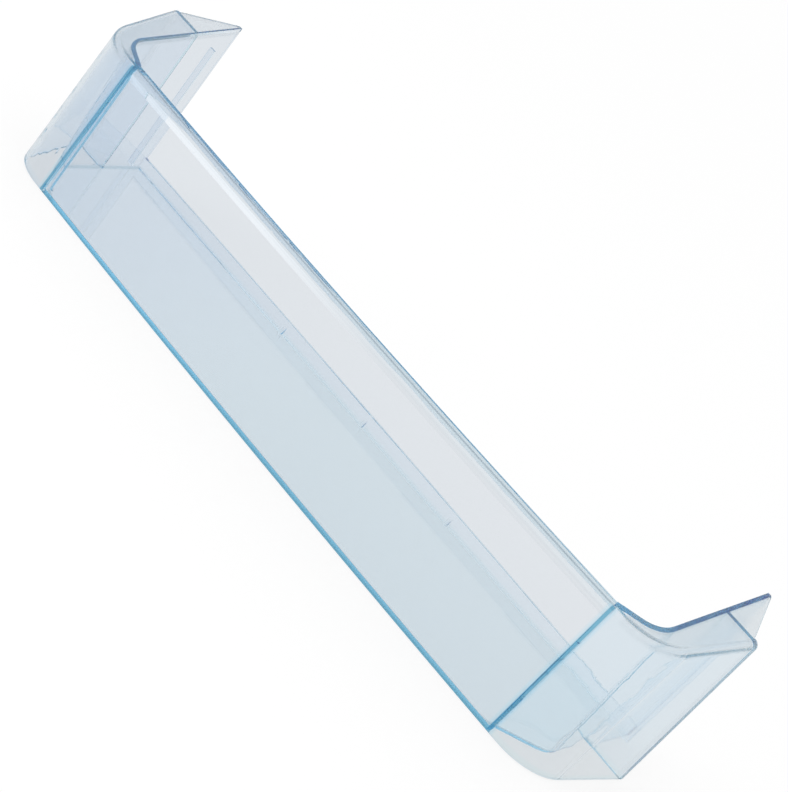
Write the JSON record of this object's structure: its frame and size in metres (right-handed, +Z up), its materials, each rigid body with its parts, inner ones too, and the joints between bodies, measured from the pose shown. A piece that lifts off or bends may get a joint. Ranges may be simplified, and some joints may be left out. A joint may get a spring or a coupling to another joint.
{
  "type": "fridge door shelf",
  "caption": "Clear pale blue refrigerator door shelf, moulded in one piece, with a rounded front, low back lip and wing ends that slide onto the door liner.",
  "frame": {"origin": "centre of the shelf's footprint, on its underside", "axes": "+X along the shelf, to the right as seen from the front; +Y from the front panel to the door; +Z up"},
  "size_m": [0.4792, 0.1171, 0.1092],
  "materials": {
    "clear_blue_plastic": "polished clear polystyrene with a pale blue tint that deepens where it is seen edge-on"
  },
  "bodies": {
    "root": {"door_shelf": "clear_blue_plastic"}
  },
  "joints": []
}
